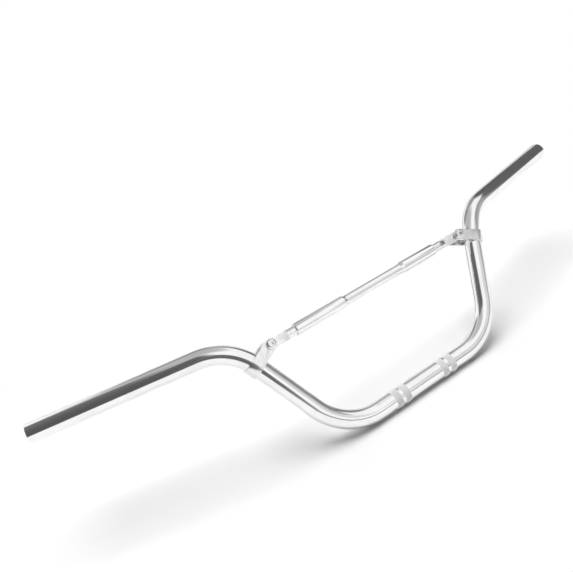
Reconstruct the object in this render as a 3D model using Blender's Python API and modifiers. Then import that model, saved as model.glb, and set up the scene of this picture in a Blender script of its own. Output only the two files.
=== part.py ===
"""Motocross handlebar: one bent round tube with knurled clamp bands and a bolted crossbar.

The bar stands as it is mounted. X runs along the bar, +Y points back to the rider and +Z points up.
The origin is the middle of the centre section, on the tube's axis, where a stem grips it.
Every length is in metres.
"""
import math

import bmesh
import bpy
from mathutils import Matrix, Vector

# Handlebar tube
TUBE_DIAMETER = 0.0222
TUBE_WALL = 0.0022
TUBE_END_CHAMFER = 0.0006
BAR_WIDTH = 0.797
LOWER_CORNER_X = 0.1115
UPPER_CORNER_X = 0.1815
RISE_HEIGHT = 0.147
GRIP_BACK = 0.0685
GRIP_UP = 0.0267
LOWER_BEND_RADIUS = 0.0715
UPPER_BEND_RADIUS = 0.067
LEAN = math.radians(26)

# Knurled bands, in two pairs
KNURL_PAIR_X = 0.0358
KNURL_WIDTH = 0.0085
KNURL_GAP = 0.004
KNURL_COLUMNS = 56
KNURL_ROWS = 6
KNURL_TOP = 0.00035
KNURL_FOOT = 0.00006

# Crossbar tube, drawn down to a waist in the middle
CROSSBAR_HEIGHT = 0.126
CROSSBAR_DIAMETER = 0.0156
CROSSBAR_WALL = 0.0018
CROSSBAR_END_CHAMFER = 0.0014
WAIST_DIAMETER = 0.0127
WAIST_CENTRE_X = 0.0095
WAIST_LENGTH = 0.084
WAIST_CONE = 0.004

# Turned end fittings of the crossbar
EYE_LENGTH = 0.023
EYE_HEIGHT = 0.0116
EYE_EDGE = 0.0007
NECK_LENGTH = 0.014
SPIGOT_LENGTH = 0.02
SPIGOT_CHAMFER = 0.0008

# Clamp straps
BOLT_REACH = 0.0262
STRAP_WIDTH = 0.0138
STRAP_THICKNESS = 0.0018
STRAP_EDGE = 0.0003
SLOT_RELIEF = 0.0001

# Fasteners
BOLT_DIAMETER = 0.006
BOLT_HOLE_CLEARANCE = 0.0003
BOLT_END_CHAMFER = 0.0006
THREAD_PAST_NUT = 0.0012
HEAD_DIAMETER = 0.0118
HEAD_HEIGHT = 0.0029
HEAD_RIM = 0.0007
HEAD_FLAT_DIAMETER = 0.0062
SOCKET_ACROSS_FLATS = 0.004
SOCKET_DEPTH = 0.0018
WASHER_DIAMETER = 0.012
WASHER_THICKNESS = 0.0012
NUT_ACROSS_FLATS = 0.01
NUT_HEX_HEIGHT = 0.0044
NUT_CORNER_CHAMFER = 0.0006
NUT_CORNER_DROP = 0.0006
NUT_COLLAR_HEIGHT = 0.0022
NUT_COLLAR_WALL = 0.0005
NUT_LIP = 0.0004
INSERT_WALL = 0.0007
INSERT_HEIGHT = 0.0012

# Clearance between pieces that touch
SEAT_GAP = 0.0003

# Facets
TUBE_SIDES = 32
BORE_SIDES = 16
ARC_STEP = math.radians(7.2)
TURNED_SIDES = 28
SMALL_SIDES = 20
ROUND_END_SEGMENTS = 10
STRAP_ARC_SEGMENTS = 18
DOME_SEGMENTS = 5
WELD_DISTANCE = 0.00001
CUT_MARGIN = 0.001
CLAMP_SEARCH_STEPS = 50

TUBE_RADIUS = TUBE_DIAMETER / 2
CROSSBAR_RADIUS = CROSSBAR_DIAMETER / 2
BOLT_RADIUS = BOLT_DIAMETER / 2
BOLT_HOLE_RADIUS = BOLT_RADIUS + BOLT_HOLE_CLEARANCE
STRAP_INNER_RADIUS = TUBE_RADIUS + SEAT_GAP
STRAP_OUTER_RADIUS = STRAP_INNER_RADIUS + STRAP_THICKNESS
SLOT_HALF = STRAP_INNER_RADIUS - SLOT_RELIEF
EYE_HALF_WIDTH = SLOT_HALF - SEAT_GAP
SHANK_RADIUS = CROSSBAR_RADIUS - CROSSBAR_WALL - SEAT_GAP

LOWER_CORNER = Vector((LOWER_CORNER_X, 0, 0))
UPPER_CORNER = Vector((UPPER_CORNER_X, 0, RISE_HEIGHT))
GRIP_END = Vector((BAR_WIDTH / 2, GRIP_BACK, RISE_HEIGHT + GRIP_UP))
RISER = (UPPER_CORNER - LOWER_CORNER).normalized()


def bend(before, corner, after, radius):
    """The arc that rounds a corner: its centre, the spoke to its start, its axis and its turn."""
    back = (before - corner).normalized()
    ahead = (after - corner).normalized()
    half_angle = back.angle(ahead) / 2
    centre = corner + (back + ahead).normalized() * radius / math.sin(half_angle)
    first = corner + back * radius / math.tan(half_angle) - centre
    last = corner + ahead * radius / math.tan(half_angle) - centre
    return centre, first, first.cross(last).normalized(), first.angle(last)


def clamp_axes(past_bend_start):
    """The right clamp's place, a distance past the upper bend's start, or before it if negative.

    Gives the point on the tube's centre line, the direction inboard to the bolt, and the bolt's axis,
    which is square to both the tube and the crossbar.
    """
    centre, first, axis, _ = bend(LOWER_CORNER, UPPER_CORNER, GRIP_END, UPPER_BEND_RADIUS)
    spoke = Matrix.Rotation(max(past_bend_start, 0) / UPPER_BEND_RADIUS, 3, axis) @ first
    point = centre + spoke + RISER * min(past_bend_start, 0)
    along = axis.cross(spoke).normalized()
    bolt_axis = Vector((0, along.z, -along.y)).normalized()
    return point, along.cross(bolt_axis), bolt_axis


def clamp_place():
    """Where on the rise the bolt comes to the crossbar's height, found by halving."""
    low = -(UPPER_CORNER - LOWER_CORNER).length
    high = UPPER_BEND_RADIUS * bend(LOWER_CORNER, UPPER_CORNER, GRIP_END, UPPER_BEND_RADIUS)[3]
    for _ in range(CLAMP_SEARCH_STEPS):
        middle = (low + high) / 2
        point, inboard, _ = clamp_axes(middle)
        if (point + inboard * BOLT_REACH).z < CROSSBAR_HEIGHT:
            low = middle
        else:
            high = middle
    return clamp_axes(low)


CLAMP_CENTRE, INBOARD, BOLT_AXIS = clamp_place()
BOLT_CENTRE = CLAMP_CENTRE + INBOARD * BOLT_REACH
CROSSBAR_TILT = math.atan2(BOLT_AXIS.z, BOLT_AXIS.y)
CROSSBAR_HALF = BOLT_CENTRE.x - EYE_LENGTH - NECK_LENGTH


def clear_scene():
    for old in list(bpy.data.objects):
        bpy.data.objects.remove(old, do_unlink=True)


def new_collection(name):
    collection = bpy.data.collections.new(name)
    bpy.context.scene.collection.children.link(collection)
    return collection


def new_empty(name, collection, parent=None):
    empty = bpy.data.objects.new(name, None)
    empty.empty_display_size = 0.02
    empty.parent = parent
    collection.objects.link(empty)
    return empty


def metal(name, colour, roughness, metallic=1.0):
    material = bpy.data.materials.new(name)
    material.use_nodes = True
    shader = material.node_tree.nodes["Principled BSDF"]
    shader.inputs["Base Color"].default_value = (*colour, 1)
    shader.inputs["Roughness"].default_value = roughness
    shader.inputs["Metallic"].default_value = metallic
    material.diffuse_color = (*colour, 1)
    return material


def place(obj, parent, location=(0, 0, 0), rotation=(0, 0, 0)):
    obj.parent = parent
    obj.location = location
    obj.rotation_euler = rotation
    return obj


def as_cutter(obj):
    obj.hide_render = True
    obj.display_type = "WIRE"
    return obj


def boolean(obj, operation, operand):
    modifier = obj.modifiers.new(f"{operation.lower()}_{operand.name}", "BOOLEAN")
    modifier.operation = operation
    modifier.solver = "EXACT"
    modifier.object = operand
    return modifier


def curve_to_mesh(curve_object):
    """A mesh object in the curve's place, with its caps welded to its sides."""
    graph = bpy.context.evaluated_depsgraph_get()
    mesh = bpy.data.meshes.new_from_object(curve_object.evaluated_get(graph))
    shape = bmesh.new()
    shape.from_mesh(mesh)
    bmesh.ops.remove_doubles(shape, verts=shape.verts, dist=WELD_DISTANCE)
    bmesh.ops.recalc_face_normals(shape, faces=shape.faces)
    shape.to_mesh(mesh)
    shape.free()
    name = curve_object.name
    collection = curve_object.users_collection[0]
    world = curve_object.matrix_world.copy()
    bpy.data.objects.remove(curve_object, do_unlink=True)
    obj = bpy.data.objects.new(name, mesh)
    obj.matrix_world = world
    collection.objects.link(obj)
    return obj


def swept_tube(name, collection, points, radius, sides, shares=None):
    """A round bar along the points, closed at both ends; shares thin it point by point."""
    curve = bpy.data.curves.new(name, "CURVE")
    curve.dimensions = "3D"
    curve.bevel_depth = radius
    curve.bevel_resolution = (sides - 4) // 2
    curve.use_fill_caps = True
    spline = curve.splines.new("POLY")
    spline.points.add(len(points) - 1)
    for index, point in enumerate(points):
        spline.points[index].co = (*point, 1)
        spline.points[index].radius = shares[index] if shares else 1
    obj = bpy.data.objects.new(name, curve)
    collection.objects.link(obj)
    return curve_to_mesh(obj)


def flat_plate(name, collection, outlines, thickness):
    """Closed outlines in the XY plane, the later ones holes, made a plate centred on that plane."""
    curve = bpy.data.curves.new(name, "CURVE")
    curve.dimensions = "2D"
    curve.fill_mode = "BOTH"
    curve.extrude = thickness / 2
    for outline in outlines:
        spline = curve.splines.new("POLY")
        spline.points.add(len(outline) - 1)
        spline.use_cyclic_u = True
        for index, (x, y) in enumerate(outline):
            spline.points[index].co = (x, y, 0, 1)
    obj = bpy.data.objects.new(name, curve)
    collection.objects.link(obj)
    return curve_to_mesh(obj)


def turned(name, collection, profile, sides):
    """A profile of (radius, height) points turned about Z; it runs down its outer side."""
    on_axis = profile[0][0] == 0 and profile[-1][0] == 0
    count = len(profile)
    edges = [(index, index + 1) for index in range(count - 1)]
    if not on_axis:
        edges.append((count - 1, 0))
    mesh = bpy.data.meshes.new(name)
    mesh.from_pydata([(radius, 0, height) for radius, height in profile], edges, [])
    obj = bpy.data.objects.new(name, mesh)
    collection.objects.link(obj)
    screw = obj.modifiers.new("turn", "SCREW")
    screw.axis = "Z"
    screw.angle = math.tau
    screw.steps = sides
    screw.render_steps = sides
    screw.use_merge_vertices = True
    screw.merge_threshold = WELD_DISTANCE
    screw.use_smooth_shade = True
    return obj


def arc(centre, radius, start, end, segments):
    """Points of an arc in a plane, with its two ends."""
    points = []
    for index in range(segments + 1):
        angle = start + (end - start) * index / segments
        points.append((centre[0] + radius * math.cos(angle), centre[1] + radius * math.sin(angle)))
    return points


def circle(centre, radius, segments):
    return arc(centre, radius, 0, math.tau, segments)[:-1]


def bent_path(corners, bend_radii):
    """Points along straight runs that are joined by arcs at the inner corners."""
    points = [corners[0]]
    for index, radius in enumerate(bend_radii):
        centre, first, axis, turn = bend(*corners[index:index + 3], radius)
        steps = math.ceil(turn / ARC_STEP)
        for step in range(steps + 1):
            points.append(centre + Matrix.Rotation(turn * step / steps, 3, axis) @ first)
    points.append(corners[-1])
    return points


def handlebar_path(end_extra=0.0):
    """The tube's centre line from its left end to its right end."""
    half = bent_path([Vector((0, 0, 0)), LOWER_CORNER, UPPER_CORNER, GRIP_END],
                     [LOWER_BEND_RADIUS, UPPER_BEND_RADIUS])[1:]
    outward = (GRIP_END - UPPER_CORNER).normalized()
    half[-1] = GRIP_END + outward * end_extra
    mirrored = [Vector((-point.x, point.y, point.z)) for point in reversed(half)]
    return mirrored + half


def knurl_ring(name, collection):
    """A ring whose outer face is a diamond knurl: rows of points between two crossing sets of grooves."""
    low = TUBE_RADIUS + KNURL_FOOT
    buried = TUBE_RADIUS - TUBE_WALL / 2
    row_pitch = KNURL_WIDTH / KNURL_ROWS
    outer = [(low, KNURL_WIDTH / 2 - row * row_pitch) for row in range(KNURL_ROWS + 1)]
    inner = [(buried, -KNURL_WIDTH / 2), (buried, KNURL_WIDTH / 2)]
    ring = turned(name, collection, outer + inner, KNURL_COLUMNS)
    graph = bpy.context.evaluated_depsgraph_get()
    mesh = bpy.data.meshes.new_from_object(ring.evaluated_get(graph))
    ring.modifiers.clear()
    shape = bmesh.new()
    shape.from_mesh(mesh)
    high_points = set()
    for vertex in shape.verts:
        if math.hypot(vertex.co.x, vertex.co.y) < (low + buried) / 2:
            continue
        row = round((KNURL_WIDTH / 2 - vertex.co.z) / row_pitch)
        column = round(math.atan2(vertex.co.y, vertex.co.x) / (math.tau / KNURL_COLUMNS))
        if 0 < row < KNURL_ROWS and (row + column) % 2 == 0:
            scale = (TUBE_RADIUS + KNURL_TOP) / low
            vertex.co.x *= scale
            vertex.co.y *= scale
            high_points.add(vertex)
    for face in list(shape.faces):
        corners = list(face.verts)
        raised = [index for index, vertex in enumerate(corners) if vertex in high_points]
        if raised:
            first = (raised[0] + 1) % 4
            bmesh.utils.face_split(face, corners[first], corners[(first + 2) % 4])
    shape.to_mesh(mesh)
    shape.free()
    ring.data = mesh
    return ring


def make_handlebar_tube(parts, cutters, frame, material):
    path = handlebar_path()
    right_chamfer = GRIP_END - (GRIP_END - UPPER_CORNER).normalized() * TUBE_END_CHAMFER
    left_chamfer = Vector((-right_chamfer.x, right_chamfer.y, right_chamfer.z))
    points = path[:1] + [left_chamfer] + path[1:-1] + [right_chamfer] + path[-1:]
    end_share = (TUBE_RADIUS - TUBE_END_CHAMFER) / TUBE_RADIUS
    shares = [end_share] + [1] * (len(points) - 2) + [end_share]
    tube = swept_tube("handlebar_tube", parts, points, TUBE_RADIUS, TUBE_SIDES, shares)
    place(tube, frame)
    for side in (-1, 1):
        for half in (-1, 1):
            ring = knurl_ring(f"knurl_{side}_{half}", cutters)
            centre = side * KNURL_PAIR_X + half * (KNURL_WIDTH + KNURL_GAP) / 2
            place(as_cutter(ring), frame, (centre, 0, 0), (0, math.pi / 2, 0))
            boolean(tube, "UNION", ring)
    bore_radius = TUBE_RADIUS - TUBE_WALL
    bore = swept_tube("tube_bore", cutters, handlebar_path(CUT_MARGIN), bore_radius, BORE_SIDES)
    place(as_cutter(bore), frame)
    boolean(tube, "DIFFERENCE", bore)
    tube.data.materials.append(material)
    return tube


def make_crossbar_tube(parts, crossbar_frame, material):
    """A round tube drawn down to a thinner waist nearer the right rise, its wall the same all along."""
    waist_radius = WAIST_DIAMETER / 2
    mouth = CROSSBAR_RADIUS - CROSSBAR_END_CHAMFER
    bore = CROSSBAR_RADIUS - CROSSBAR_WALL
    right_waist = WAIST_LENGTH / 2 + WAIST_CENTRE_X
    left_waist = WAIST_LENGTH / 2 - WAIST_CENTRE_X
    outer = []
    inner = []
    for side, waist_end in ((1, right_waist), (-1, left_waist)):
        outside = [(mouth, side * CROSSBAR_HALF),
                   (CROSSBAR_RADIUS, side * (CROSSBAR_HALF - CROSSBAR_END_CHAMFER)),
                   (CROSSBAR_RADIUS, side * (waist_end + WAIST_CONE)),
                   (waist_radius, side * waist_end)]
        inside = [(waist_radius - CROSSBAR_WALL, side * waist_end),
                  (bore, side * (waist_end + WAIST_CONE)),
                  (bore, side * CROSSBAR_HALF)]
        outer += outside[::side]
        inner = inside[::side] + inner
    tube = turned("crossbar_tube", parts, outer + inner, TURNED_SIDES)
    place(tube, crossbar_frame, rotation=(0, math.pi / 2, 0))
    tube.data.materials.append(material)
    return tube


def make_crossbar_eye(side_name, side, parts, cutters, crossbar_frame, material):
    """The crossbar's end fitting: a spigot, a round neck and an eye block with a hole for the bolt."""
    half_height = EYE_HEIGHT / 2
    outline = [(EYE_LENGTH, half_height)]
    outline += arc((0, 0), half_height, math.pi / 2, math.pi * 3 / 2, ROUND_END_SEGMENTS)
    outline += [(EYE_LENGTH, -half_height)]
    hole = circle((0, 0), BOLT_HOLE_RADIUS, SMALL_SIDES)
    eye = flat_plate(f"crossbar_eye_{side_name}", parts, [outline, hole], 2 * EYE_HALF_WIDTH)
    bevel = eye.modifiers.new("edges", "BEVEL")
    bevel.width = EYE_EDGE
    bevel.segments = 1
    bevel.limit_method = "ANGLE"
    bevel.angle_limit = math.radians(50)
    inboard_turn = math.pi if side > 0 else 0
    place(eye, crossbar_frame, (side * BOLT_CENTRE.x, 0, 0), (math.pi / 2, 0, inboard_turn))
    rooted = EYE_LENGTH - NECK_LENGTH / 4
    tip = EYE_LENGTH + NECK_LENGTH + SPIGOT_LENGTH
    profile = [(0, tip), (SHANK_RADIUS - SPIGOT_CHAMFER, tip), (SHANK_RADIUS, tip - SPIGOT_CHAMFER),
               (SHANK_RADIUS, rooted), (0, rooted)]
    shank = as_cutter(turned(f"shank_{side_name}", cutters, profile, SMALL_SIDES))
    place(shank, crossbar_frame, (side * BOLT_CENTRE.x, 0, 0), (0, -side * math.pi / 2, 0))
    boolean(eye, "UNION", shank)
    eye.data.materials.append(material)
    return eye


def make_clamp_strap(side_name, parts, cutters, clamp, seat_cutter, material):
    """A flat strip bent in a U round the tube, its two round-tipped ears taking the eye between them."""
    ear_radius = STRAP_WIDTH / 2
    ear_tip = BOLT_REACH + ear_radius + CUT_MARGIN
    outer = arc((0, 0), STRAP_OUTER_RADIUS, math.pi / 2, math.pi * 3 / 2, STRAP_ARC_SEGMENTS)
    body = [(ear_tip, STRAP_OUTER_RADIUS)] + outer + [(ear_tip, -STRAP_OUTER_RADIUS)]
    strap = flat_plate(f"clamp_strap_{side_name}", parts, [body], STRAP_WIDTH + 2 * CUT_MARGIN)
    place(strap, clamp)

    far_side = -STRAP_OUTER_RADIUS - CUT_MARGIN
    side_view = arc((BOLT_REACH, 0), ear_radius, math.pi / 2, -math.pi / 2, ROUND_END_SEGMENTS)
    side_view += [(far_side, -ear_radius), (far_side, ear_radius)]
    hole = circle((BOLT_REACH, 0), BOLT_HOLE_RADIUS, SMALL_SIDES)
    wide = 2 * (STRAP_OUTER_RADIUS + CUT_MARGIN)
    ears = as_cutter(flat_plate(f"ears_{side_name}", cutters, [side_view, hole], wide))
    place(ears, clamp, rotation=(math.pi / 2, 0, 0))
    boolean(strap, "INTERSECT", ears)

    past_tip = ear_tip + CUT_MARGIN
    slot_outline = [(0, SLOT_HALF), (0, -SLOT_HALF), (past_tip, -SLOT_HALF), (past_tip, SLOT_HALF)]
    tall = STRAP_WIDTH + 4 * CUT_MARGIN
    slot = as_cutter(flat_plate(f"slot_{side_name}", cutters, [slot_outline], tall))
    place(slot, clamp)
    boolean(strap, "DIFFERENCE", slot)
    boolean(strap, "DIFFERENCE", seat_cutter)

    bevel = strap.modifiers.new("edges", "BEVEL")
    bevel.width = STRAP_EDGE
    bevel.segments = 1
    bevel.limit_method = "ANGLE"
    bevel.angle_limit = math.radians(60)
    strap.data.materials.append(material)
    return strap


def make_clamp_bolt(side_name, parts, cutters, clamp, material):
    """A button head screw: domed head with a hexagon socket, and a plain round shank."""
    bearing = STRAP_OUTER_RADIUS + SEAT_GAP
    top = bearing + HEAD_HEIGHT
    nut_stack = WASHER_THICKNESS + NUT_HEX_HEIGHT + NUT_COLLAR_HEIGHT + SEAT_GAP
    tip = -(bearing + nut_stack + THREAD_PAST_NUT)
    head_radius = HEAD_DIAMETER / 2
    flat_radius = HEAD_FLAT_DIAMETER / 2
    dome_start = bearing + HEAD_RIM
    dome = []
    for index in range(DOME_SEGMENTS + 1):
        angle = math.pi / 2 * (1 - index / DOME_SEGMENTS)
        radius = flat_radius + (head_radius - flat_radius) * math.cos(angle)
        dome.append((radius, dome_start + (top - dome_start) * math.sin(angle)))
    profile = [(0, top)] + dome + [(head_radius, bearing), (BOLT_RADIUS, bearing)]
    profile += [(BOLT_RADIUS, tip + BOLT_END_CHAMFER), (BOLT_RADIUS - BOLT_END_CHAMFER, tip), (0, tip)]
    bolt = turned(f"clamp_bolt_{side_name}", parts, profile, TURNED_SIDES)
    place(bolt, clamp, (BOLT_REACH, 0, 0), (math.pi / 2, 0, 0))

    corner_radius = SOCKET_ACROSS_FLATS / 2 / math.cos(math.pi / 6)
    depth = SOCKET_DEPTH + CUT_MARGIN
    hexagon = circle((0, 0), corner_radius, 6)
    socket = as_cutter(flat_plate(f"socket_{side_name}", cutters, [hexagon], depth))
    place(socket, clamp, (BOLT_REACH, -(top - SOCKET_DEPTH + depth / 2), 0), (math.pi / 2, 0, 0))
    boolean(bolt, "DIFFERENCE", socket)
    bolt.data.materials.append(material)
    return bolt


def make_clamp_washer(side_name, parts, clamp, material):
    outer = WASHER_DIAMETER / 2
    profile = [(outer, WASHER_THICKNESS), (outer, 0), (BOLT_HOLE_RADIUS, 0), (BOLT_HOLE_RADIUS, WASHER_THICKNESS)]
    washer = turned(f"clamp_washer_{side_name}", parts, profile, SMALL_SIDES)
    place(washer, clamp, (BOLT_REACH, STRAP_OUTER_RADIUS + SEAT_GAP, 0), (-math.pi / 2, 0, 0))
    washer.data.materials.append(material)
    return washer


def make_clamp_nut(side_name, parts, cutters, clamp, material):
    """A lock nut: a hexagon with trimmed corners and a round collar crimped over its nylon ring."""
    corner_radius = NUT_ACROSS_FLATS / 2 / math.cos(math.pi / 6)
    insert_seat = BOLT_HOLE_RADIUS + INSERT_WALL + SEAT_GAP
    collar_radius = insert_seat + NUT_COLLAR_WALL
    height = NUT_HEX_HEIGHT + NUT_COLLAR_HEIGHT
    lip_start = height - NUT_LIP
    seat_floor = lip_start - INSERT_HEIGHT - 2 * SEAT_GAP
    lip_radius = BOLT_HOLE_RADIUS + INSERT_WALL / 2
    trimmed = corner_radius - NUT_CORNER_CHAMFER
    past_corners = corner_radius + CUT_MARGIN / 2
    profile = [(insert_seat, height), (collar_radius, lip_start), (collar_radius, NUT_HEX_HEIGHT),
               (trimmed, NUT_HEX_HEIGHT), (past_corners, NUT_HEX_HEIGHT - NUT_CORNER_DROP),
               (past_corners, NUT_CORNER_DROP), (trimmed, 0),
               (BOLT_HOLE_RADIUS, 0), (BOLT_HOLE_RADIUS, seat_floor), (insert_seat, seat_floor),
               (insert_seat, lip_start), (lip_radius, lip_start), (lip_radius, height)]
    nut = turned(f"clamp_nut_{side_name}", parts, profile, SMALL_SIDES)
    bearing = STRAP_OUTER_RADIUS + SEAT_GAP + WASHER_THICKNESS + SEAT_GAP
    place(nut, clamp, (BOLT_REACH, bearing, 0), (-math.pi / 2, 0, 0))

    tall = height + 2 * CUT_MARGIN
    prism = as_cutter(flat_plate(f"hexagon_{side_name}", cutters, [circle((0, 0), corner_radius, 6)], tall))
    place(prism, clamp, (BOLT_REACH, bearing + height / 2, 0), (-math.pi / 2, 0, 0))
    boolean(nut, "INTERSECT", prism)
    nut.data.materials.append(material)
    return nut


def make_nut_insert(side_name, parts, clamp, material):
    """The nylon ring in the nut's collar."""
    outer = BOLT_HOLE_RADIUS + INSERT_WALL
    profile = [(outer, INSERT_HEIGHT), (outer, 0), (BOLT_HOLE_RADIUS, 0), (BOLT_HOLE_RADIUS, INSERT_HEIGHT)]
    insert = turned(f"clamp_nut_insert_{side_name}", parts, profile, SMALL_SIDES)
    bearing = STRAP_OUTER_RADIUS + SEAT_GAP + WASHER_THICKNESS + SEAT_GAP
    lip_start = NUT_HEX_HEIGHT + NUT_COLLAR_HEIGHT - NUT_LIP
    start = bearing + lip_start - SEAT_GAP - INSERT_HEIGHT
    place(insert, clamp, (BOLT_REACH, start, 0), (-math.pi / 2, 0, 0))
    insert.data.materials.append(material)
    return insert


def clamp_frame(side_name, side, parts, frame):
    """An empty on the tube's axis: X points inboard to the bolt, Y back along it, and Z along the tube."""
    mirror = Vector((side, 1, 1))
    inboard = INBOARD * mirror
    clamp = new_empty(f"clamp_frame_{side_name}", parts, frame)
    clamp.location = CLAMP_CENTRE * mirror
    axes = Matrix((inboard, BOLT_AXIS, inboard.cross(BOLT_AXIS))).transposed()
    clamp.rotation_euler = axes.to_euler()
    return clamp


def main():
    clear_scene()
    parts = new_collection("Motocross handlebar")
    cutters = new_collection("Cutters")
    frame = new_empty("bar_frame", parts)
    frame.rotation_euler = (-LEAN, 0, 0)

    chrome = metal("polished_chrome", (0.93, 0.93, 0.93), 0.14)
    crossbar_chrome = metal("crossbar_chrome", (0.93, 0.93, 0.93), 0.14)
    fitting = metal("bright_fitting", (0.94, 0.94, 0.94), 0.20)
    strap_plate = metal("satin_strap", (0.88, 0.88, 0.88), 0.24)
    fastener = metal("plated_fastener", (0.90, 0.90, 0.90), 0.24)
    nylon = metal("white_nylon", (0.82, 0.82, 0.80), 0.45, 0.0)

    make_handlebar_tube(parts, cutters, frame, chrome)
    crossbar_frame = new_empty("crossbar_frame", parts, frame)
    crossbar_frame.location = (0, BOLT_CENTRE.y, BOLT_CENTRE.z)
    crossbar_frame.rotation_euler = (CROSSBAR_TILT, 0, 0)
    make_crossbar_tube(parts, crossbar_frame, crossbar_chrome)
    seat = swept_tube("strap_seat", cutters, handlebar_path(), TUBE_RADIUS + SEAT_GAP, TUBE_SIDES)
    place(as_cutter(seat), frame)
    for side_name, side in (("left", -1), ("right", 1)):
        clamp = clamp_frame(side_name, side, parts, frame)
        make_crossbar_eye(side_name, side, parts, cutters, crossbar_frame, fitting)
        make_clamp_strap(side_name, parts, cutters, clamp, seat, strap_plate)
        make_clamp_bolt(side_name, parts, cutters, clamp, fastener)
        make_clamp_washer(side_name, parts, clamp, fastener)
        make_clamp_nut(side_name, parts, cutters, clamp, fastener)
        make_nut_insert(side_name, parts, clamp, nylon)


main()
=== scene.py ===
"""Polished motocross handlebar: fine surfaces and finishes, built round the packed model.

Lengths are in metres. The pieces are modelled in the bar's own frame, where X runs along the bar and the
rises stand up along Z, and are then leaned back as the bar is mounted.
"""
import math

import bmesh
import bpy
from bpy.props import FloatProperty, FloatVectorProperty, IntProperty, PointerProperty
from mathutils import Matrix, Vector


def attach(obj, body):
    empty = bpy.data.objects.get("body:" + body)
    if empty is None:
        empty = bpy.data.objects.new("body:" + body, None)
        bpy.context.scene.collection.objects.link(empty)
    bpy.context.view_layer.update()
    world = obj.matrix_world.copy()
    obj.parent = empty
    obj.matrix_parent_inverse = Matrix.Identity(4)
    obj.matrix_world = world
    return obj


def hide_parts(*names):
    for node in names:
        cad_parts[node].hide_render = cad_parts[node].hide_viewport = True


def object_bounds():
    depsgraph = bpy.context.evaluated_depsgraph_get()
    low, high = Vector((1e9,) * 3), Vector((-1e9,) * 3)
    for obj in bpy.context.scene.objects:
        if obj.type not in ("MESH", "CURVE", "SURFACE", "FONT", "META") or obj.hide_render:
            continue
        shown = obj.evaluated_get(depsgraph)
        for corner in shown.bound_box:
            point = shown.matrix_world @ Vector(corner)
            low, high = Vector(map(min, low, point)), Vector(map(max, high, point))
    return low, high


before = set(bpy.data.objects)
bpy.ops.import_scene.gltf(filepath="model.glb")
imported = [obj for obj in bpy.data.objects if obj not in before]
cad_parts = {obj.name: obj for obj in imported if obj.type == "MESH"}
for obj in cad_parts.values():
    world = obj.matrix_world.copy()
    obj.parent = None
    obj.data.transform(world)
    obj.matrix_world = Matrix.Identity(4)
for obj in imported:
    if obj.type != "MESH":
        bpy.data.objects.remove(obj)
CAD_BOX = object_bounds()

bl_info = {
    "name": "Motocross Handlebar",
    "version": (1, 0, 0),
    "blender": (4, 5, 0),
    "location": "3D Viewport > Sidebar > Handlebar",
    "description": "Builds a polished high-rise handlebar with a clamped crossbar",
    "category": "Add Mesh",
}

BODY = "root"
SIDES = (("left", -1), ("right", 1))
QUARTER_X = Matrix.Rotation(math.pi / 2, 4, "X")
QUARTER_Y = Matrix.Rotation(math.pi / 2, 4, "Y")

TUBE_SIDES = 128
TURNED_SIDES = 96
SMALL_SIDES = 64
FINE_ARC_STEP = math.radians(1.5)
COARSE_ARC_STEP = math.radians(5)
OUTLINE_SEGMENTS = 32
EDGE_SEGMENTS = 3
FILLET_SEGMENTS = 5
SHARP_ANGLE = math.radians(32)
WELD_DISTANCE = 0.000005
CUT_MARGIN = 0.001
CLAMP_SEARCH_STEPS = 50
SHANK_THREAD_STEPS = 8
THREAD_FLANK = 2.4
HEAD_DOME_SEGMENTS = 12
FLAT_CORNER = math.radians(89)
SHORT_EDGE_SHARE = 0.45
NUT_EDGE = 0.00012
WASHER_EDGE = 0.00018
NYLON_EDGE = 0.00015

# Edges sharper than these angles are rounded
EYE_EDGE_ANGLE = math.radians(50)
STRAP_EDGE_ANGLE = math.radians(60)
NUT_EDGE_ANGLE = math.radians(25)

# How fine each finish's marks are: along the piece and across it, or one value where they have no direction
DRAWN_LINES = (6.0, 1500.0, 1500.0)
DRAWN_CLOUDS = (35.0, 90.0, 90.0)
TURNED_RINGS = (9000.0, 40.0, 40.0)
TURNED_CLOUDS = 260.0
KNURL_GRAIN = 5200.0
SATIN_GRAIN = 4200.0
SATIN_CLOUDS = 170.0
NYLON_GRAIN = 1800.0

FITTING_ROUGHNESS = 0.24
STRAP_ROUGHNESS = 0.22
FASTENER_ROUGHNESS = 0.27
NYLON_ROUGHNESS = 0.42
KNURL_METALLIC = 0.3

CAMERA_TURN = (68.266, 18.675, -31.48)
SENSOR_WIDTH = 36
CLIP_START = 0.01


# Settings

def length(name, description, default):
    return FloatProperty(name=name, description=description, default=default, min=0, precision=5,
                         subtype="DISTANCE", unit="LENGTH")


def angle(name, description, degrees):
    return FloatProperty(name=name, description=description, default=math.radians(degrees),
                         subtype="ANGLE", unit="ROTATION")


def share(name, description, default):
    return FloatProperty(name=name, description=description, default=default, min=0, max=1,
                         subtype="FACTOR")


def light_strength(name, default):
    return FloatProperty(name=name, description="Strength of that light", default=default, min=0)


def colour(name, description, default):
    return FloatVectorProperty(name=name, description=description, default=default, size=3,
                               min=0, max=1, subtype="COLOR")


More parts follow.
